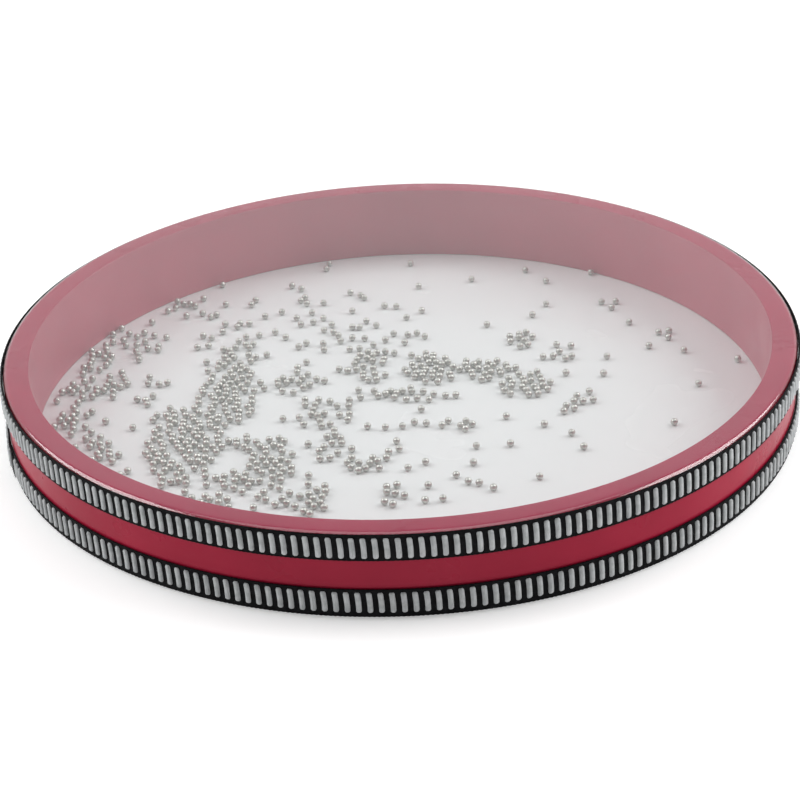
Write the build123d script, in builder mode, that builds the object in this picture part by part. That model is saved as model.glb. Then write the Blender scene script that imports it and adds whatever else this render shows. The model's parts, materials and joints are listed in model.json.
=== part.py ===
"""Ocean drum: a shallow laminated hoop with a clear head, a white head and loose steel beads between them.

The drum lies flat on its white head. Z points up through the clear head, and the origin is at the
middle of the white head's underside. Bearings are degrees round Z, counted from +X towards +Y.
"""

import math
import os
import random

from build123d import *

os.makedirs("parts", exist_ok=True)

# Hoop: three bent plies of wood, glued one inside the other
hoop_diameter = 300.0
hoop_height = 31.0
ply_thickness = 3.15
glue_line = 0.05
outer_edge_round = 2.0
inner_edge_round = 0.5
seam_gap = 0.2
ply_seams = {"outer_ply": 63.0, "core_ply": 183.0, "inner_ply": 303.0}

# Heads: plastic film stretched over the hoop, with a skirt down its outside
film_thickness = 0.25
film_fit = 0.03
skirt_cover = 1.0

# Staples: fine wire, through each skirt and into the outer ply
staples_per_head = 40
staple_crown = 9.0
staple_wire_depth = 0.45
staple_wire_width = 0.7
staple_tip_cover = 0.6
staple_fit = 0.06

# Braids: a black woven tape with a row of raised white bars
upper_braid_width = 9.5
lower_braid_width = 10.6
upper_braid_drop = 0.55
lower_braid_lift = 0.35
tape_thickness = 0.9
tape_edge_round = 0.35
tape_fit = 0.05
bar_length = 7.5
bar_width = 1.95
bar_end_round = 0.75
bar_height = 0.45
bar_pitch = 3.75
bar_lean = 3.0
bar_side_slope = 25.0
bar_fit = 0.02
upper_bar_margin = 0.8
lower_bar_margin = 2.0
upper_seam_bearing = 74.0
lower_seam_bearing = 198.0
lap_length = 16.0
lap_thickness = 0.8

# Beads: loose steel balls on the white head
bead_diameter = 2.8
bead_floor_gap = 0.2
bead_wall_gap = 0.3
bead_side_gap = 0.14
bead_ring_count = 8
bead_seed = 11
tosses_per_bead = 10.5
stray_crowding = 0.0013

# Drifts of beads, as shares of the hoop's inner radius:
# place across and deep, half width across and deep, and how crowded the middle is
bead_drifts = [
    (-0.49, 0.04, 0.07, 0.12, 1.0),
    (-0.48, 0.24, 0.065, 0.10, 0.14),
    (-0.59, -0.20, 0.08, 0.15, 1.0),
    (-0.63, -0.06, 0.05, 0.065, 0.30),
    (-0.60, -0.38, 0.07, 0.05, 0.30),
    (-0.35, -0.35, 0.05, 0.085, 0.80),
    (-0.41, -0.22, 0.09, 0.03, 0.50),
    (-0.44, -0.41, 0.065, 0.045, 0.30),
    (-0.46, 0.37, 0.03, 0.065, 0.12),
    (0.08, 0.17, 0.06, 0.085, 0.80),
    (0.235, 0.15, 0.07, 0.05, 0.80),
    (0.35, 0.05, 0.06, 0.065, 0.30),
    (0.48, -0.06, 0.065, 0.065, 0.05),
    (-0.10, 0.20, 0.045, 0.09, 0.15),
    (-0.34, 0.11, 0.085, 0.045, 0.10),
    (-0.26, 0.14, 0.03, 0.07, 0.10),
    (-0.23, -0.07, 0.08, 0.08, 0.08),
    (-0.20, -0.25, 0.045, 0.10, 0.06),
    (-0.09, -0.36, 0.055, 0.035, 0.10),
    (-0.37, -0.52, 0.13, 0.06, 0.06),
    (-0.235, -0.53, 0.035, 0.08, 0.13),
    (-0.035, -0.53, 0.03, 0.065, 0.12),
    (0.07, -0.555, 0.045, 0.02, 0.16),
    (-0.54, -0.51, 0.055, 0.045, 0.07),
    (-0.90, 0.14, 0.05, 0.08, 0.13),
    (-0.81, 0.17, 0.03, 0.08, 0.13),
    (-0.88, 0.34, 0.045, 0.085, 0.10),
    (-0.91, -0.04, 0.05, 0.085, 0.10),
    (-0.83, -0.21, 0.045, 0.08, 0.25),
    (-0.75, -0.30, 0.045, 0.065, 0.05),
    (-0.755, 0.41, 0.045, 0.085, 0.10),
    (-0.66, 0.655, 0.05, 0.055, 0.07),
    (-0.83, 0.485, 0.035, 0.05, 0.09),
    (-0.53, 0.51, 0.115, 0.185, 0.014),
    (-0.285, 0.44, 0.27, 0.31, 0.010),
    (0.35, 0.33, 0.03, 0.045, 0.16),
    (0.47, 0.23, 0.035, 0.085, 0.025),
    (-0.03, 0.34, 0.14, 0.10, 0.02),
    (0.03, -0.165, 0.155, 0.02, 0.05),
    (0.14, -0.285, 0.255, 0.215, 0.006),
    (0.0, 0.02, 0.14, 0.045, 0.05),
    (-0.71, 0.07, 0.045, 0.155, 0.02),
]

# Levels and radii that follow from the sizes above
hoop_radius = hoop_diameter / 2
hoop_inner_radius = hoop_radius - 3 * ply_thickness - 2 * glue_line
hoop_bottom = film_thickness + film_fit
hoop_top = hoop_bottom + hoop_height
drum_height = hoop_top + film_fit + film_thickness
skirt_inner_radius = hoop_radius + film_fit
skirt_outer_radius = skirt_inner_radius + film_thickness
tape_inner_radius = skirt_outer_radius + tape_fit
tape_outer_radius = tape_inner_radius + tape_thickness
bar_seat_radius = tape_outer_radius + bar_fit
lower_braid_bottom = lower_braid_lift
lower_braid_top = lower_braid_bottom + lower_braid_width
upper_braid_top = drum_height - upper_braid_drop
upper_braid_bottom = upper_braid_top - upper_braid_width
upper_skirt_end = upper_braid_bottom + skirt_cover
lower_skirt_end = lower_braid_top - skirt_cover
upper_staple_level = (hoop_top - outer_edge_round + upper_skirt_end) / 2
lower_staple_level = (hoop_bottom + outer_edge_round + lower_skirt_end) / 2
bead_radius = bead_diameter / 2
bead_level = film_thickness + bead_floor_gap + bead_radius
bead_top_level = hoop_top + film_fit - bead_floor_gap - bead_radius
bead_lane = bead_diameter + bead_side_gap


def staple_places(level):
    """Places of one row of staples, evenly spaced round the hoop and facing outwards."""
    step = 360 / staples_per_head
    return [Location((0, 0, level), (0, 0, step * (number + 0.5))) for number in range(staples_per_head)]


def staple_blank(label, grow):
    """One staple at bearing 0: a straight crown over the skirt and two pointed legs in the wood.

    Grown by a fit, the same shape is the slot that the staple sits in.
    """
    back = skirt_outer_radius + film_fit
    front = back + staple_wire_depth + grow
    half_crown = staple_crown / 2 + grow
    half_inside = staple_crown / 2 - staple_wire_depth - grow
    point = hoop_radius - ply_thickness + staple_tip_cover - grow
    shoulder = point + staple_wire_depth
    with BuildPart() as blank:
        with BuildSketch(Plane.XY.offset(-staple_wire_width / 2 - grow)):
            with BuildLine():
                Polyline(
                    (front, -half_crown),
                    (front, half_crown),
                    (shoulder, half_crown),
                    (point, half_inside),
                    (back, half_inside),
                    (back, -half_inside),
                    (point, -half_inside),
                    (shoulder, -half_crown),
                    close=True,
                )
            make_face()
        extrude(amount=staple_wire_width + 2 * grow)
    blank.part.label = label
    return blank.part


def staple_row(label, level):
    """A row of staples, separate pieces in one group."""
    staple = staple_blank(label, 0)
    with BuildPart() as row:
        with Locations(*staple_places(level)):
            add(staple)
    row.part.label = label
    return row.part


def hoop_ply(label, outer_radius, outside_round, inside_round, staple_levels):
    """One strip of wood bent round until its ends meet in a butt joint."""
    inner_radius = outer_radius - ply_thickness
    seam_angle = math.degrees(seam_gap / inner_radius)
    seam_plane = Plane.XZ.rotated((0, 0, ply_seams[label] + seam_angle / 2))
    slot = staple_blank("slot", staple_fit)
    with BuildPart() as ply:
        with BuildSketch(seam_plane) as section:
            with Locations((inner_radius, hoop_bottom)):
                Rectangle(ply_thickness, hoop_height, align=(Align.MIN, Align.MIN))
            if outside_round:
                fillet(section.vertices().group_by(Axis.X)[-1], outside_round)
            if inside_round:
                fillet(section.vertices().group_by(Axis.X)[0], inside_round)
        revolve(axis=Axis.Z, revolution_arc=360 - seam_angle)
        for level in staple_levels:
            with Locations(*staple_places(level)):
                add(slot, mode=Mode.SUBTRACT)
    ply.part.label = label
    return ply.part


def head(label, face_level, edge_level, skirt_end, staple_level):
    """A film head: a flat disc, a bend over the hoop's rounded edge and a skirt down its outside.

    face_level is the film's outer face, edge_level the face that lies on the hoop.
    """
    inwards = math.copysign(1, edge_level - face_level)
    bend_start = skirt_inner_radius - outer_edge_round
    bend_end = edge_level + inwards * outer_edge_round
    bend_middle = outer_edge_round * (1 - math.sqrt(0.5))
    slot = staple_blank("slot", staple_fit)
    with BuildPart() as film:
        with BuildSketch(Plane.XZ):
            with BuildLine():
                Line((0, edge_level), (bend_start, edge_level))
                ThreePointArc(
                    (bend_start, edge_level),
                    (skirt_inner_radius - bend_middle, edge_level + inwards * bend_middle),
                    (skirt_inner_radius, bend_end),
                )
                Polyline(
                    (skirt_inner_radius, bend_end),
                    (skirt_inner_radius, skirt_end),
                    (skirt_outer_radius, skirt_end),
                    (skirt_outer_radius, bend_end),
                )
                ThreePointArc(
                    (skirt_outer_radius, bend_end),
                    (
                        skirt_inner_radius - bend_middle + film_thickness * math.sqrt(0.5),
                        edge_level + inwards * (bend_middle - film_thickness * math.sqrt(0.5)),
                    ),
                    (bend_start, face_level),
                )
                Polyline((bend_start, face_level), (0, face_level), (0, edge_level))
            make_face()
        revolve(axis=Axis.Z)
        with Locations(*staple_places(staple_level)):
            add(slot, mode=Mode.SUBTRACT)
    film.part.label = label
    return film.part


def lap_rise(bearing, seam):
    """How far the lapped end of a tape stands off the tape under it, at a bearing."""
    lap_angle = math.degrees(lap_length / tape_outer_radius)
    before_end = (seam - bearing) % 360
    return lap_thickness * max(0.0, 1 - before_end / lap_angle)


def braid_tape(label, bottom, width, seam, staple_level):
    """The black woven tape, with pressed-in pockets over the staples and a lapped end."""
    lap_angle = math.degrees(lap_length / tape_outer_radius)
    lap_root = tape_outer_radius - tape_thickness / 2
    crown_pocket = staple_crown + 4 * staple_fit
    pocket_depth = staple_wire_depth + film_fit + 2 * staple_fit
    with BuildPart() as tape:
        with BuildSketch(Plane.XZ) as section:
            with Locations((tape_inner_radius, bottom)):
                Rectangle(tape_thickness, width, align=(Align.MIN, Align.MIN))
            fillet(section.vertices().group_by(Axis.X)[-1], tape_edge_round)
        revolve(axis=Axis.Z)
        with BuildSketch(Plane.XY.offset(bottom + tape_edge_round)):
            with BuildLine():
                start = Vector(tape_outer_radius, 0).rotate(Axis.Z, seam - lap_angle)
                middle = Vector(tape_outer_radius + lap_thickness / 2, 0).rotate(Axis.Z, seam - lap_angle / 2)
                end = Vector(tape_outer_radius + lap_thickness, 0).rotate(Axis.Z, seam)
                root_end = Vector(lap_root, 0).rotate(Axis.Z, seam)
                root_start = Vector(lap_root, 0).rotate(Axis.Z, seam - lap_angle)
                root_middle = Vector(lap_root, 0).rotate(Axis.Z, seam - lap_angle / 2)
                ThreePointArc(start, middle, end)
                Line(end, root_end)
                ThreePointArc(root_end, root_middle, root_start)
                Line(root_start, start)
            make_face()
        extrude(amount=width - 2 * tape_edge_round)
        with Locations(*[place * Pos(skirt_outer_radius, 0, 0) for place in staple_places(staple_level)]):
            Box(
                pocket_depth,
                crown_pocket,
                staple_wire_width + 4 * staple_fit,
                align=(Align.MIN, Align.CENTER, Align.CENTER),
                mode=Mode.SUBTRACT,
            )
    tape.part.label = label
    return tape.part


def braid_bars(label, bottom, margin, seam):
    """The raised white bars of one braid, separate pieces in one group, stepped from the seam."""
    middle_level = bottom + margin + bar_length / 2
    pitch_angle = math.degrees(bar_pitch / bar_seat_radius)
    half_bar_angle = math.degrees(bar_width / 2 / bar_seat_radius)
    bearings = [seam + pitch_angle * (number + 1) for number in range(int(360 / pitch_angle) - 1)]
    places = []
    for bearing in bearings:
        seat = bar_seat_radius + lap_rise(bearing + half_bar_angle, seam)
        places.append(Location((0, 0, middle_level), (0, 0, bearing)) * Pos(seat, 0, 0))
    with BuildPart() as bar:
        with BuildSketch(Plane.YZ):
            RectangleRounded(bar_width, bar_length, bar_end_round, rotation=bar_lean)
        extrude(amount=bar_height, taper=bar_side_slope)
    with BuildPart() as bars:
        with Locations(*places):
            add(bar.part)
    bars.part.label = label
    return bars.part


def crowding_at(x, y):
    """The share of tossed beads that come to rest at a place on the white head."""
    crowding = stray_crowding
    for across, deep, half_across, half_deep, middle_crowding in bead_drifts:
        away_x = (x / hoop_inner_radius - across) / half_across
        away_y = (y / hoop_inner_radius - deep) / half_deep
        fade = min(1.0, max(0.0, 2.0 - 1.5 * math.hypot(away_x, away_y)))
        crowding = max(crowding, middle_crowding * fade)
    return crowding


def ring_places(first_radius, last_radius, chance):
    """Places of the beads in one ring, tossed at random: most in the drifts, and none touching another."""
    ring_share = (last_radius**2 - first_radius**2) / bead_radius**2
    places = []
    for toss in range(int(tosses_per_bead * ring_share)):
        radius = math.sqrt(chance.uniform(first_radius**2, last_radius**2))
        angle = chance.uniform(0, 2 * math.pi)
        x = radius * math.cos(angle)
        y = radius * math.sin(angle)
        rests = chance.random() < crowding_at(x, y)
        if rests and all(math.hypot(x - place[0], y - place[1]) >= bead_lane for place in places):
            places.append((x, y, bead_level))
    return places


def bead_group(label, places):
    """A group of beads that swirls round the drum together."""
    with BuildPart() as group:
        with Locations(*places):
            Sphere(bead_radius)
    group.part.label = label
    return group.part


def write(piece):
    """Write one piece under its own name."""
    export_step(piece, f"parts/{piece.label}.step")


# Hoop, from the outside in
ply_step = ply_thickness + glue_line
write(hoop_ply("outer_ply", hoop_radius, outer_edge_round, 0, [upper_staple_level, lower_staple_level]))
write(hoop_ply("core_ply", hoop_radius - ply_step, 0, 0, []))
write(hoop_ply("inner_ply", hoop_radius - 2 * ply_step, 0, inner_edge_round, []))

# Heads and the staples that hold them
write(head("clear_head", drum_height, hoop_top + film_fit, upper_skirt_end, upper_staple_level))
write(head("white_head", 0, film_thickness, lower_skirt_end, lower_staple_level))
write(staple_row("upper_staples", upper_staple_level))
write(staple_row("lower_staples", lower_staple_level))

# Braids
write(braid_tape("upper_tape", upper_braid_bottom, upper_braid_width, upper_seam_bearing, upper_staple_level))
write(braid_bars("upper_bars", upper_braid_bottom, upper_bar_margin, upper_seam_bearing))
write(braid_tape("lower_tape", lower_braid_bottom, lower_braid_width, lower_seam_bearing, lower_staple_level))
write(braid_bars("lower_bars", lower_braid_bottom, lower_bar_margin, lower_seam_bearing))

# Beads: rings a lane apart, from the core out to the wall
bead_reach = hoop_inner_radius - bead_wall_gap - bead_radius
ring_step = (bead_reach + bead_lane) / (bead_ring_count + 1)
chance = random.Random(bead_seed)
bead_count = 0
for ring in range(bead_ring_count + 1):
    label = f"beads_ring_{ring}" if ring > 0 else "beads_core"
    places = ring_places(ring * ring_step, (ring + 1) * ring_step - bead_lane, chance)
    write(bead_group(label, places))
    bead_count += len(places)
print("beads:", bead_count)
print("drum height:", round(drum_height, 3), "bead travel:", round(bead_top_level - bead_level, 3))
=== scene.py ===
import json
import math
import random

import bmesh
import bpy
from mathutils import Matrix, Vector


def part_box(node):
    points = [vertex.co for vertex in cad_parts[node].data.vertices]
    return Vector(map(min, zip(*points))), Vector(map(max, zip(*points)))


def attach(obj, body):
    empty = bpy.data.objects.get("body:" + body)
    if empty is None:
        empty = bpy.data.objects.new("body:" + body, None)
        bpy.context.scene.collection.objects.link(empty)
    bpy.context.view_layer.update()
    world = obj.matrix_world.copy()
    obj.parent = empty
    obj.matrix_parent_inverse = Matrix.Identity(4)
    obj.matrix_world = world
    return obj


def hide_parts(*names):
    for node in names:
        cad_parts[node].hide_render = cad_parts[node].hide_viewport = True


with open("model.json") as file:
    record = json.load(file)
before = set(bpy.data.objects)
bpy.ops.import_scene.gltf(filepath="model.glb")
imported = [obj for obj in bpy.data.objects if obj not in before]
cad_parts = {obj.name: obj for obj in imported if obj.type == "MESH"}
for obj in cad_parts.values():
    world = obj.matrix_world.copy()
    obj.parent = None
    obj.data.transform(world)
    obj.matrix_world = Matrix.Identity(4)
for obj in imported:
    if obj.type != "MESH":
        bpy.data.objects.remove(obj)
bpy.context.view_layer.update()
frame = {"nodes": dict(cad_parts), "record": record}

# Hoop: three strips of wood bent round a former and glued one inside the other, with their butt joints
# staggered. The outer edge is rounded over, the inner one eased, and the whole hoop is sprayed gloss red.
# The rim's top and the inner wall get paler, pinker copies of that red, which is painted light.
hoop_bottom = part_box("outer_ply")[0].z
hoop_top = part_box("outer_ply")[1].z
hoop_radius = 0.150
ply_thickness = 0.00315
glue_line = 0.00005
ply_step = ply_thickness + glue_line
wall_inside = hoop_radius - 3 * ply_step + glue_line
outer_edge_round = 0.0020
outer_edge_steps = 8
inner_edge_round = 0.0005
inner_edge_steps = 4
rim_crown = 0.00012
turn_steps = 360
merge_distance = 1e-6


def face_outwards(shape):
    """Turn each closed body in a bmesh right side out, going by the sign of its volume."""
    bmesh.ops.recalc_face_normals(shape, faces=shape.faces)
    shape.normal_update()
    waiting = set(shape.faces)
    inside_out = []
    while waiting:
        body = [waiting.pop()]
        start = body[0].calc_center_median()
        volume = 0.0
        for face in body:
            volume += (face.calc_center_median() - start).dot(face.normal) * face.calc_area()
            for edge in face.edges:
                for neighbour in edge.link_faces:
                    if neighbour in waiting:
                        waiting.remove(neighbour)
                        body.append(neighbour)
        if volume < 0:
            inside_out.extend(body)
    bmesh.ops.reverse_faces(shape, faces=inside_out)


def piece_from(name, shape, material, smooth_angle=40.0):
    """A finished object from a bmesh, with smooth shading and crisp corners."""
    face_outwards(shape)
    mesh = bpy.data.meshes.new(name)
    shape.to_mesh(mesh)
    shape.free()
    mesh.materials.append(material)
    mesh.polygons.foreach_set("use_smooth", [True] * len(mesh.polygons))
    mesh.set_sharp_from_angle(angle=math.radians(smooth_angle))
    piece = bpy.data.objects.new(name, mesh)
    bpy.context.scene.collection.objects.link(piece)
    return piece


def even_normals(piece):
    """Keep flat faces flat where they run into a rounded edge."""
    weighted = piece.modifiers.new("even_normals", "WEIGHTED_NORMAL")
    weighted.keep_sharp = True
    weighted.weight = 80


def outline(shape, corners, rounds, closed):
    """Draw a section in the XZ plane, a (radius, height) for each corner, and round the corners named."""
    points = [shape.verts.new((radius, 0, height)) for radius, height in corners]
    pairs = list(zip(points, points[1:]))
    if closed:
        pairs.append((points[-1], points[0]))
    for one, other in pairs:
        shape.edges.new((one, other))
    for corner, (size, segments) in rounds.items():
        bmesh.ops.bevel(shape, geom=[points[corner]], affect="VERTICES", offset=size,
                        offset_type="OFFSET", segments=segments, profile=0.5, material=-1)


def turn_on_lathe(shape, steps):
    """Spin the drawn section once round the drum's axis."""
    bmesh.ops.spin(shape, geom=shape.verts[:] + shape.edges[:], cent=(0, 0, 0), axis=(0, 0, 1),
                   dvec=(0, 0, 0), angle=2 * math.pi, steps=steps, use_merge=True,
                   use_normal_flip=False, use_duplicate=False)
    bmesh.ops.remove_doubles(shape, verts=shape.verts, dist=merge_distance)


def crown_rim(shape):
    """Ease both of the hoop's edges off towards the outside, as sanding and a tight film do."""
    middle = (hoop_bottom + hoop_top) / 2
    for vert in shape.verts:
        share = (vert.co.xy.length - wall_inside) / (hoop_radius - wall_inside)
        if share > 0:
            vert.co.z -= math.copysign(rim_crown * share * share, vert.co.z - middle)


def new_material(name):
    """A material with its Principled shader, and short ways to add and join nodes."""
    material = bpy.data.materials.new(name)
    material.use_nodes = True
    tree = material.node_tree
    shader = next(node for node in tree.nodes if node.type == "BSDF_PRINCIPLED")

    def add(kind, **values):
        node = tree.nodes.new(kind)
        for key, value in values.items():
            if hasattr(node, key):
                setattr(node, key, value)
            else:
                node.inputs[key.replace("_", " ")].default_value = value
        return node

    def join(source, target):
        tree.links.new(source, target)

    return material, shader, add, join


def mottle(add, join, place, target, scale, low, high):
    """Feed a socket with slow noise between two values or two colours."""
    noise = add("ShaderNodeTexNoise", Scale=scale, Detail=3.0, Roughness=0.55)
    ramp = add("ShaderNodeValToRGB")
    ramp.color_ramp.interpolation = "EASE"
    low_stop, high_stop = ramp.color_ramp.elements
    low_stop.position = 0.32
    high_stop.position = 0.68
    low_stop.color = low if isinstance(low, tuple) else (low, low, low, 1)
    high_stop.color = high if isinstance(high, tuple) else (high, high, high, 1)
    join(place, noise.inputs["Vector"])
    join(noise.outputs["Fac"], ramp.inputs["Fac"])
    join(ramp.outputs["Color"], target)


def grain_bump(add, join, place, shader, scale, strength, distance):
    """Give a surface a fine uneven skin."""
    noise = add("ShaderNodeTexNoise", Scale=scale, Detail=2.0, Roughness=0.5)
    bump = add("ShaderNodeBump", Strength=strength, Distance=distance)
    join(place, noise.inputs["Vector"])
    join(noise.outputs["Fac"], bump.inputs["Height"])
    join(bump.outputs["Normal"], shader.inputs["Normal"])


def lacquer(name, darker_red, lighter_red, roughness, gloss):
    """Sprayed red: a little uneven in depth and polish, with a faint orange peel. The darker and lighter
    reds span that unevenness; for the rim and the wall both are set paler, which is painted light.
    """
    paint, shader, add, join = new_material(name)
    place = add("ShaderNodeTexCoord").outputs["Object"]
    mottle(add, join, place, shader.inputs["Base Color"], 30.0, darker_red, lighter_red)
    mottle(add, join, place, shader.inputs["Roughness"], 55.0, roughness, roughness + 0.1)
    grain_bump(add, join, place, shader, 700.0, 0.05, 0.0003)
    shader.inputs["Specular IOR Level"].default_value = gloss
    shader.inputs["Coat Weight"].default_value = gloss / 3
    shader.inputs["Coat Roughness"].default_value = 0.12
    return paint


band_lacquer = lacquer("band_lacquer", (0.275, 0.0085, 0.029, 1), (0.310, 0.0105, 0.034, 1), 0.26, 0.11)
# The rim's top wears a paler, pinker copy of the band's red: painted light from above on the top face.
rim_red_with_painted_light = lacquer("rim_red_with_painted_light", (0.320, 0.0100, 0.050, 1), (0.355, 0.0125, 0.057, 1), 0.26, 0.08)
# The inner wall wears a much paler, pinker copy of the red: painted light inside the drum.
wall_red_with_painted_light = lacquer("wall_red_with_painted_light", (0.430, 0.0580, 0.105, 1), (0.470, 0.0680, 0.118, 1), 0.34, 0.4)
rim_painted_light_slot = 1
wall_painted_light_slot = 2

ply_edges = {
    "outer_ply": (hoop_radius - ply_step, hoop_radius),
    "core_ply": (hoop_radius - 2 * ply_step, hoop_radius - ply_step),
    "inner_ply": (wall_inside, hoop_radius - 2 * ply_step),
}
for ply, (inside, outside) in ply_edges.items():
    section = bmesh.new()
    rounds = {}
    if ply == "outer_ply":
        rounds = {1: (outer_edge_round, outer_edge_steps), 2: (outer_edge_round, outer_edge_steps)}
    if ply == "inner_ply":
        rounds = {0: (inner_edge_round, inner_edge_steps), 3: (inner_edge_round, inner_edge_steps)}
    corners = [(inside, hoop_bottom), (outside, hoop_bottom), (outside, hoop_top), (inside, hoop_top)]
    outline(section, corners, rounds, closed=True)
    turn_on_lathe(section, turn_steps)
    crown_rim(section)
    painted_ply = piece_from("painted_" + ply, section, band_lacquer)
    painted_ply.data.materials.append(rim_red_with_painted_light)
    painted_ply.data.materials.append(wall_red_with_painted_light)
    # Faces on the inner wall and on the rim's top are moved onto the paler reds, which paint in light.
    for face in painted_ply.data.polygons:
        reach = face.center.xy.length
        if reach < wall_inside + inner_edge_round / 4:
            face.material_index = wall_painted_light_slot
        elif reach < hoop_radius - outer_edge_round / 2:
            face.material_index = rim_painted_light_slot
    even_normals(painted_ply)
    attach(painted_ply, "drum")
    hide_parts(ply)

# Staples: fine galvanised wire, driven through each film's skirt into the outer ply. The braids hide them,
# so the wire keeps the shape it has in the frame and gets a dull zinc finish.
staple_wire, shader, add, join = new_material("staple_wire")
place = add("ShaderNodeTexCoord").outputs["Object"]
mottle(add, join, place, shader.inputs["Base Color"], 900.0, (0.42, 0.43, 0.44, 1), (0.60, 0.61, 0.62, 1))
mottle(add, join, place, shader.inputs["Roughness"], 1400.0, 0.32, 0.5)
grain_bump(add, join, place, shader, 5000.0, 0.15, 0.0001)
shader.inputs["Metallic"].default_value = 1.0
for row in ("upper_staples", "lower_staples"):
    wire = frame["nodes"][row]
    wire.data.materials.clear()
    wire.data.materials.append(staple_wire)

# White head: an opaque white polyester film, heated and pulled tight over the hoop's lower edge. Its skirt
# runs up the outside of the hoop, under the lower braid. The beads run on its glossy inside.
film_thickness = 0.00025
skirt_radius = 0.15003
disc_rings = 7
bend_steps = 10


def film_head(name, face, seat, skirt_end, material):
    """A stretched film: a flat disc, a bend over the hoop's rounded edge and a skirt."""
    film = bmesh.new()
    corners = [
        (0, face),
        (wall_inside, face),
        (hoop_radius - 2 * ply_step, face),
        (hoop_radius - ply_step, face),
        (skirt_radius + film_thickness, face),
        (skirt_radius + film_thickness, skirt_end),
        (skirt_radius, skirt_end),
        (skirt_radius, seat),
        (hoop_radius - ply_step, seat),
        (hoop_radius - 2 * ply_step, seat),
        (wall_inside, seat),
        (0, seat),
    ]
    bends = {4: (outer_edge_round + film_thickness, bend_steps), 7: (outer_edge_round, bend_steps)}
    outline(film, corners, bends, closed=False)
    long_edges = [edge for edge in film.edges if edge.calc_length() > hoop_radius / 2]
    bmesh.ops.subdivide_edges(film, edges=long_edges, cuts=disc_rings)
    turn_on_lathe(film, turn_steps)
    crown_rim(film)
    head = piece_from(name, film, material)
    even_normals(head)
    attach(head, "drum")
    return head


white_film, shader, add, join = new_material("white_film")
place = add("ShaderNodeTexCoord").outputs["Object"]
white_shade = (0.774, 0.782, 0.784, 1)
white_tint = (0.784, 0.792, 0.794, 1)
mottle(add, join, place, shader.inputs["Base Color"], 9.0, white_shade, white_tint)
mottle(add, join, place, shader.inputs["Roughness"], 14.0, 0.20, 0.28)
grain_bump(add, join, place, shader, 60.0, 0.012, 0.0005)
shader.inputs["Specular IOR Level"].default_value = 0.4
shader.inputs["Coat Weight"].default_value = 0.15
shader.inputs["Coat Roughness"].default_value = 0.10
white_low, white_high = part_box("white_head")
white_seat = white_low.z + film_thickness
white_head = film_head("white_film_head", white_low.z, white_seat, white_high.z, white_film)
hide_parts("white_head")

# Beads: plain steel shot, tumbled dull, loose between the two heads. They lie in drifts where the drum was
# last tipped, each touching the white film. Every group keeps the places that the frame gives it.
bead_radius = 0.0014
bead_floor_gap = 0.0002
bead_size_spread = 0.03
bead_tumble_axis = (0.6, 0.0, 0.8)
bead_pole_depth = 2e-6
bead_chance = random.Random(5)

steel_bead, shader, add, join = new_material("steel_bead")
place = add("ShaderNodeTexCoord").outputs["Object"]
steel_shade = (0.53, 0.535, 0.50, 1)
steel_tint = (0.61, 0.615, 0.575, 1)
mottle(add, join, place, shader.inputs["Base Color"], 420.0, steel_shade, steel_tint)
mottle(add, join, place, shader.inputs["Roughness"], 700.0, 0.38, 0.50)
grain_bump(add, join, place, shader, 2600.0, 0.12, 0.0001)
shader.inputs["Metallic"].default_value = 1.0


def one_bead():
    """A single ball of unit radius: a cube cut in nine on each side and blown up round."""
    ball = bmesh.new()
    bmesh.ops.create_cube(ball, size=2.0)
    bmesh.ops.subdivide_edges(ball, edges=ball.edges, cuts=2, use_grid_fill=True)
    for vert in ball.verts:
        vert.co = Vector([math.tan(part * math.pi / 4) for part in vert.co]).normalized()
    mesh = bpy.data.meshes.new("one_bead")
    ball.to_mesh(mesh)
    ball.free()
    return mesh


def bead_middles(node):
    """The middle of each ball in a group, found from the top pole of each in the frame node's mesh."""
    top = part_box(node)[1].z
    near_top = [vert.co for vert in frame["nodes"][node].data.vertices if vert.co.z > top - bead_pole_depth]
    poles = {(round(pole.x, 5), round(pole.y, 5)) for pole in near_top}
    return [Vector((x, y, top - bead_radius)) for x, y in sorted(poles)]


bead_mesh = one_bead()
for body, members in frame["record"]["behaviour"]["bodies"].items():
    for node in members:
        if not node.startswith("beads_"):
            continue
        shot = bmesh.new()
        for middle in bead_middles(node):
            size = 1 + bead_chance.uniform(-bead_size_spread, bead_size_spread)
            rest = middle - Vector((0, 0, bead_floor_gap + bead_radius * (1 - size)))
            tumble = Matrix.Rotation(bead_chance.uniform(0, math.pi), 4, bead_tumble_axis)
            first = len(shot.verts)
            shot.from_mesh(bead_mesh)
            shot.verts.ensure_lookup_table()
            seat = Matrix.Translation(rest) @ tumble @ Matrix.Scale(bead_radius * size, 4)
            bmesh.ops.transform(shot, matrix=seat, verts=shot.verts[first:])
        beads = piece_from("steel_" + node, shot, steel_bead, smooth_angle=180.0)
        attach(beads, body)
        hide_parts(node)

# Clear head: a clear polyester film, pulled tight over the hoop's upper edge in the same way. It is faintly
# hazy, mirrors the room at a low angle, and its bend shines along the hoop's rounded edge.
clear_film, shader, add, join = new_material("clear_film")
place = add("ShaderNodeTexCoord").outputs["Object"]
straight_on_shine = 0.05
shine_falloff = 5.0
facing = add("ShaderNodeLayerWeight", Blend=0.5)
grazing = add("ShaderNodeMath", operation="POWER")
grazing.inputs[1].default_value = shine_falloff
shine = add("ShaderNodeMath", operation="MULTIPLY_ADD", use_clamp=True)
shine.inputs[1].default_value = 1 - straight_on_shine
shine.inputs[2].default_value = straight_on_shine
through = add("ShaderNodeBsdfTransparent", Color=(0.985, 0.99, 0.99, 1))
mirror = add("ShaderNodeBsdfGlossy", Color=(1, 1, 1, 1), Roughness=0.06)
glossed = add("ShaderNodeMixShader")
haze = add("ShaderNodeMixShader")
shader.inputs["Base Color"].default_value = (0.92, 0.93, 0.93, 1)
shader.inputs["Roughness"].default_value = 0.6
shader.inputs["Specular IOR Level"].default_value = 0.0
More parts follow.
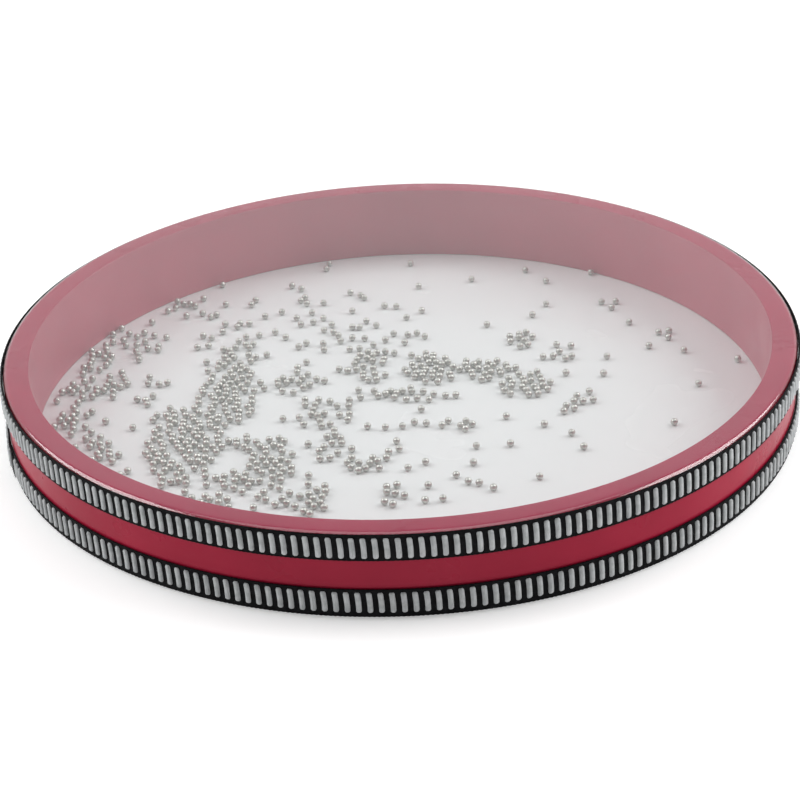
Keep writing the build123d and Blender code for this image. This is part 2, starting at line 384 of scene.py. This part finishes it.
surface = next(node for node in clear_film.node_tree.nodes if node.type == "OUTPUT_MATERIAL")
join(facing.outputs["Facing"], grazing.inputs[0])
join(grazing.outputs["Value"], shine.inputs[0])
join(shine.outputs["Value"], glossed.inputs["Fac"])
join(through.outputs["BSDF"], glossed.inputs[1])
join(mirror.outputs["BSDF"], glossed.inputs[2])
mottle(add, join, place, haze.inputs["Fac"], 18.0, 0.002, 0.005)
join(glossed.outputs["Shader"], haze.inputs[1])
join(shader.outputs["BSDF"], haze.inputs[2])
join(haze.outputs["Shader"], surface.inputs["Surface"])
clear_low, clear_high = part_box("clear_head")
clear_seat = clear_high.z - film_thickness
clear_head = film_head("clear_film_head", clear_high.z, clear_seat, clear_low.z, clear_film)
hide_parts("clear_head")

# Braids: a black woven tape with corded edges and a ladder of white bars, each bar a few yarns side by side.
# It is laid flat, wrapped once round the hoop and glued down, with its cut end lapped over its start.
tape_inner = 0.15033
tape_thickness = 0.0005
tape_columns = 520
edge_cord_radius = 0.00036
edge_cord_seat = 1.1
edge_cord_lay = 0.0016
edge_cord_swell = 0.16
edge_cord_flatness = 0.92
edge_cord_sides = 8
columns_per_lay = 6
bar_length = 0.0075
bar_width = 0.00185
bar_height = 0.00085
bar_pitch = 0.00375
bar_lean = math.radians(3.0)
bar_bow = 0.00016
bar_root = 0.0001
bar_edge_drop = 0.9
bar_square_part = 0.84
bar_end_width = 0.66
bar_end_height = 0.45
bar_across = 4
bar_along = 6
strands_per_pitch = 8
wave_radians_per_unit = 20
lap_overlap = 0.006
lap_ramp = 0.010
wrap_radius = 0.15123
once_round = 2 * math.pi * wrap_radius
braid_run = once_round + lap_overlap

black_yarn, shader, add, join = new_material("black_yarn")
place = add("ShaderNodeTexCoord").outputs["Object"]
black_shade = (0.0015, 0.0015, 0.0020, 1)
black_tint = (0.0045, 0.0045, 0.0055, 1)
mottle(add, join, place, shader.inputs["Base Color"], 500.0, black_shade, black_tint)
mottle(add, join, place, shader.inputs["Roughness"], 900.0, 0.55, 0.8)
shader.inputs["Specular IOR Level"].default_value = 0.1
shader.inputs["Sheen Weight"].default_value = 0.015
shader.inputs["Sheen Roughness"].default_value = 0.4


def along_braid(add, join, place):
    """Coordinates that follow the braid: x along it, y up its width."""
    parts = add("ShaderNodeSeparateXYZ")
    bearing = add("ShaderNodeMath", operation="ARCTAN2")
    along = add("ShaderNodeMath", operation="MULTIPLY")
    along.inputs[1].default_value = wrap_radius
    flat_place = add("ShaderNodeCombineXYZ")
    join(place, parts.inputs["Vector"])
    join(parts.outputs["Y"], bearing.inputs[0])
    join(parts.outputs["X"], bearing.inputs[1])
    join(bearing.outputs["Value"], along.inputs[0])
    join(along.outputs["Value"], flat_place.inputs["X"])
    join(parts.outputs["Z"], flat_place.inputs["Y"])
    return flat_place.outputs["Vector"]


flat_place = along_braid(add, join, place)
ribs = add("ShaderNodeTexWave", wave_type="BANDS", bands_direction="X", Scale=520.0, Distortion=0.6)
rows = add("ShaderNodeTexWave", wave_type="BANDS", bands_direction="Y", Scale=420.0, Distortion=0.6)
weave = add("ShaderNodeMath", operation="MULTIPLY")
weave_bump = add("ShaderNodeBump", Strength=0.5, Distance=0.0002)
join(flat_place, ribs.inputs["Vector"])
join(flat_place, rows.inputs["Vector"])
join(ribs.outputs["Fac"], weave.inputs[0])
join(rows.outputs["Fac"], weave.inputs[1])
join(weave.outputs["Value"], weave_bump.inputs["Height"])
join(weave_bump.outputs["Normal"], shader.inputs["Normal"])

white_yarn, shader, add, join = new_material("white_yarn")
place = add("ShaderNodeTexCoord").outputs["Object"]
yarn_shade = (0.335, 0.35, 0.355, 1)
yarn_tint = (0.455, 0.47, 0.475, 1)
mottle(add, join, place, shader.inputs["Base Color"], 350.0, yarn_shade, yarn_tint)
mottle(add, join, place, shader.inputs["Roughness"], 900.0, 0.6, 0.85)
shader.inputs["Sheen Weight"].default_value = 0.1
leaning_place = add("ShaderNodeMapping", Rotation=(0, 0, -bar_lean))
strands = add("ShaderNodeTexWave", wave_type="BANDS", bands_direction="X", Distortion=0.5)
strands.inputs["Scale"].default_value = 2 * math.pi * strands_per_pitch / (wave_radians_per_unit * bar_pitch)
strands.inputs["Detail Scale"].default_value = 3.0
strand_bump = add("ShaderNodeBump", Strength=0.6, Distance=0.00008)
join(along_braid(add, join, place), leaning_place.inputs["Vector"])
join(leaning_place.outputs["Vector"], strands.inputs["Vector"])
join(strands.outputs["Fac"], strand_bump.inputs["Height"])
join(strand_bump.outputs["Normal"], shader.inputs["Normal"])


def wrap_round(shape, seam, bottom, front_rise, back_drop):
    """Bend a braid that is laid out flat round the hoop, from under its lap to the top of it.

    Flat, x runs along the braid, y out of its face and z up its width. Glued on by eye, it may sit a touch
    higher at the front than at the back.
    """
    for vert in shape.verts:
        run, out, height = vert.co
        climb = min(1.0, max(0.0, (run - once_round + lap_ramp) / lap_ramp))
        radius = tape_inner + out + tape_thickness * climb * climb * (3 - 2 * climb)
        angle = math.radians(seam) + (run - braid_run) / wrap_radius
        front = (1 - math.sin(angle)) / 2
        level = bottom + height + front_rise * front - back_drop * (1 - front)
        vert.co = (radius * math.cos(angle), radius * math.sin(angle), level)


def run_along(shape, geometry, length, steps):
    """Draw a section out along the braid in even steps."""
    bmesh.ops.spin(shape, geom=geometry, cent=(0, 0, 0), axis=(0, 0, 1), dvec=(length / steps, 0, 0),
                   angle=0, steps=steps, use_merge=False, use_normal_flip=False, use_duplicate=False)


def close_ends(shape):
    """Fill the open ends of what was drawn out."""
    bmesh.ops.holes_fill(shape, edges=[edge for edge in shape.edges if edge.is_boundary], sides=0)


def one_bar():
    """A single bar laid flat: a thick stitch of yarn, bowed, leaning and rounded at both ends."""
    bar = bmesh.new()
    bmesh.ops.create_grid(bar, x_segments=bar_across, y_segments=bar_along, size=0.5)
    for vert in bar.verts:
        side = math.sin(vert.co.x * math.pi)
        end = math.sin(vert.co.y * math.pi)
        past_square = max(0.0, (abs(end) - bar_square_part) / (1 - bar_square_part))
        squareness = math.sqrt(max(0.0, 1 - past_square ** 2))
        narrowing = bar_end_width + (1 - bar_end_width) * squareness
        lowering = bar_end_height + (1 - bar_end_height) * squareness
        x = side * bar_width / 2 * narrowing + bar_bow * (1 - end * end)
        y = bar_height * math.sqrt(1 - bar_edge_drop * side * side) * lowering
        vert.co = (x, y, end * bar_length / 2)
    rim = [edge for edge in bar.edges if edge.is_boundary]
    skirt = bmesh.ops.extrude_edge_only(bar, edges=rim)["geom"]
    for vert in [item for item in skirt if isinstance(item, bmesh.types.BMVert)]:
        vert.co.y = -bar_root
    close_ends(bar)
    lean = Matrix.Rotation(-bar_lean, 4, "Y")
    bmesh.ops.transform(bar, matrix=lean, verts=bar.verts)
    mesh = bpy.data.meshes.new("one_bar")
    bar.to_mesh(mesh)
    bar.free()
    return mesh


def twisted_cord(shape, height):
    """A two-strand cord along one edge of the tape, rolled up from a flat grid."""
    steps = int(braid_run / edge_cord_lay) * columns_per_lay
    grid = bmesh.ops.create_grid(shape, x_segments=steps, y_segments=edge_cord_sides, size=0.5)["verts"]
    for vert in grid:
        run = (vert.co.x + 0.5) * braid_run
        turn = vert.co.y * 2 * math.pi
        twist = 2 * math.pi * run / edge_cord_lay
        swell = edge_cord_radius * (1 + edge_cord_swell * math.cos(2 * turn - twist))
        out = swell * edge_cord_flatness * math.cos(turn) + tape_thickness / 2
        vert.co = (run, out, swell * math.sin(turn) + height)
    bmesh.ops.remove_doubles(shape, verts=grid, dist=merge_distance)


def braid(tape_node, bars_node, tape_name, bars_name, seam, bar_margin, selvage, front_rise, back_drop):
    """One braid: its tape with corded edges and a soft selvage below, and its bars."""
    low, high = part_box(tape_node)
    bottom = low.z - selvage
    width = high.z - bottom
    tape = bmesh.new()
    cord_inset = edge_cord_radius * edge_cord_seat
    foot = cord_inset
    head = width - cord_inset
    corners = ((0, foot), (tape_thickness, foot), (tape_thickness, head), (0, head))
    section = [tape.verts.new((0, out, height)) for out, height in corners]
    for one, other in zip(section, section[1:] + section[:1]):
        tape.edges.new((one, other))
    run_along(tape, tape.verts[:] + tape.edges[:], braid_run, tape_columns)
    twisted_cord(tape, cord_inset)
    twisted_cord(tape, width - cord_inset)
    close_ends(tape)
    wrap_round(tape, seam, bottom, front_rise, back_drop)
    black_tape = piece_from(tape_name, tape, black_yarn, smooth_angle=55.0)
    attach(black_tape, "drum")
    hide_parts(tape_node)
    single = one_bar()
    ladder = bmesh.new()
    middle = bar_margin + bar_length / 2
    for number in range(int(once_round / bar_pitch) - 1):
        first = len(ladder.verts)
        ladder.from_mesh(single)
        ladder.verts.ensure_lookup_table()
        run = lap_overlap + bar_pitch * (number + 1)
        bmesh.ops.translate(ladder, vec=(run, tape_thickness, middle), verts=ladder.verts[first:])
    wrap_round(ladder, seam, low.z, front_rise, back_drop)
    white_bars = piece_from(bars_name, ladder, white_yarn, smooth_angle=60.0)
    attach(white_bars, "drum")
    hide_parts(bars_node)


braid("upper_tape", "upper_bars", "upper_black_tape", "upper_white_bars",
      seam=74.0, bar_margin=0.0008, selvage=0.0004, front_rise=0.0006, back_drop=0.0011)
braid("lower_tape", "lower_bars", "lower_black_tape", "lower_white_bars",
      seam=198.0, bar_margin=0.0020, selvage=0.0, front_rise=0.0, back_drop=0.0)

# Studio: a plain pale floor under a wide overhead lamp, with a large soft lamp and a low fill at each side.
# The room is dim in front and high up, and bright behind. Nothing glossy mirrors the two fills.
floor_paint, shader, add, join = new_material("floor_paint")
place = add("ShaderNodeTexCoord").outputs["Object"]
mottle(add, join, place, shader.inputs["Base Color"], 3.0, (0.86, 0.86, 0.86, 1), (0.88, 0.88, 0.88, 1))
shader.inputs["Roughness"].default_value = 0.9
shader.inputs["Specular IOR Level"].default_value = 0.1
shader.inputs["Emission Color"].default_value = (1, 1, 1, 1)
shader.inputs["Emission Strength"].default_value = 0.28
floor_gap = 0.0002
floor_reach = 6.0
ground = bmesh.new()
lowered = Matrix.Translation((0, 0, -floor_gap))
bmesh.ops.create_grid(ground, x_segments=1, y_segments=1, size=floor_reach, matrix=lowered)
floor = piece_from("floor", ground, floor_paint)


def soft_lamp(name, place, width, height, power, mirrored=True):
    """A rectangular soft lamp that faces the drum. Glossy surfaces mirror it unless told not to."""
    lamp = bpy.data.lights.new(name, "AREA")
    lamp.shape = "RECTANGLE"
    lamp.size = width
    lamp.size_y = height
    lamp.energy = power
    holder = bpy.data.objects.new(name, lamp)
    holder.location = place
    holder.visible_glossy = mirrored
    holder.rotation_euler = (-Vector(place)).to_track_quat("-Z", "Y").to_euler()
    bpy.context.scene.collection.objects.link(holder)


soft_lamp("overhead_lamp", (0, 0.2, 1.5), 1.4, 1.4, 7.0)
soft_lamp("left_lamp", (-1.06, 0.345, 1.0), 1.1, 0.8, 11.0)
soft_lamp("right_lamp", (1.06, 0.345, 1.0), 1.1, 0.8, 12.5)
soft_lamp("left_fill", (-1.3, -0.2, 0.3), 0.8, 0.5, 5.0, mirrored=False)
soft_lamp("right_fill", (1.3, -0.2, 0.3), 0.8, 0.5, 7.5, mirrored=False)

front_glow = 0.22
back_glow = 0.82
low_share = 0.9
high_share = 0.3
studio = bpy.data.worlds.new("studio")
bpy.context.scene.world = studio
studio.use_nodes = True
tree = studio.node_tree
backdrop = next(node for node in tree.nodes if node.type == "BACKGROUND")
direction = tree.nodes.new("ShaderNodeTexCoord")
split = tree.nodes.new("ShaderNodeSeparateXYZ")
depth = tree.nodes.new("ShaderNodeMapRange")
depth.inputs["From Min"].default_value = -0.9
depth.inputs["From Max"].default_value = 0.5
depth.inputs["To Min"].default_value = front_glow
depth.inputs["To Max"].default_value = back_glow
height = tree.nodes.new("ShaderNodeMapRange")
height.inputs["From Min"].default_value = 0.50
height.inputs["From Max"].default_value = 0.62
height.inputs["To Min"].default_value = low_share
height.inputs["To Max"].default_value = high_share
glow = tree.nodes.new("ShaderNodeMath")
glow.operation = "MULTIPLY"
tree.links.new(direction.outputs["Generated"], split.inputs["Vector"])
tree.links.new(split.outputs["Y"], depth.inputs["Value"])
tree.links.new(split.outputs["Z"], height.inputs["Value"])
tree.links.new(depth.outputs["Result"], glow.inputs[0])
tree.links.new(height.outputs["Result"], glow.inputs[1])
tree.links.new(glow.outputs["Value"], backdrop.inputs["Strength"])
backdrop.inputs["Color"].default_value = (1, 1, 1, 1)

# Camera: a long lens in front of the drum and above it, close enough for the drum to fill the picture.
# It is rolled a little and aimed just below the drum's middle.
elevation = math.radians(27.73)
roll = math.radians(2.69)
distance = 0.79694
aim_right = -0.00081
aim_up = -0.01305
aim_height = 0.0153
focal_length = 92.98
film_gate = 36.0
right = Vector((1, 0, 0))
up = Vector((0, math.sin(elevation), math.cos(elevation)))
back = Vector((0, -math.cos(elevation), math.sin(elevation)))
eye = Vector((0, 0, aim_height)) + right * aim_right + up * aim_up + back * distance
rolled_right = right * math.cos(roll) - up * math.sin(roll)
rolled_up = right * math.sin(roll) + up * math.cos(roll)
lens = bpy.data.cameras.new("camera")
lens.sensor_width = film_gate
lens.lens = focal_length
lens.clip_start = 0.01
viewer = bpy.data.objects.new("camera", lens)
stand = Matrix((rolled_right, rolled_up, back)).transposed().to_4x4()
viewer.matrix_world = Matrix.Translation(eye) @ stand
bpy.context.scene.collection.objects.link(viewer)
bpy.context.scene.camera = viewer
bpy.context.scene.view_settings.view_transform = "Standard"
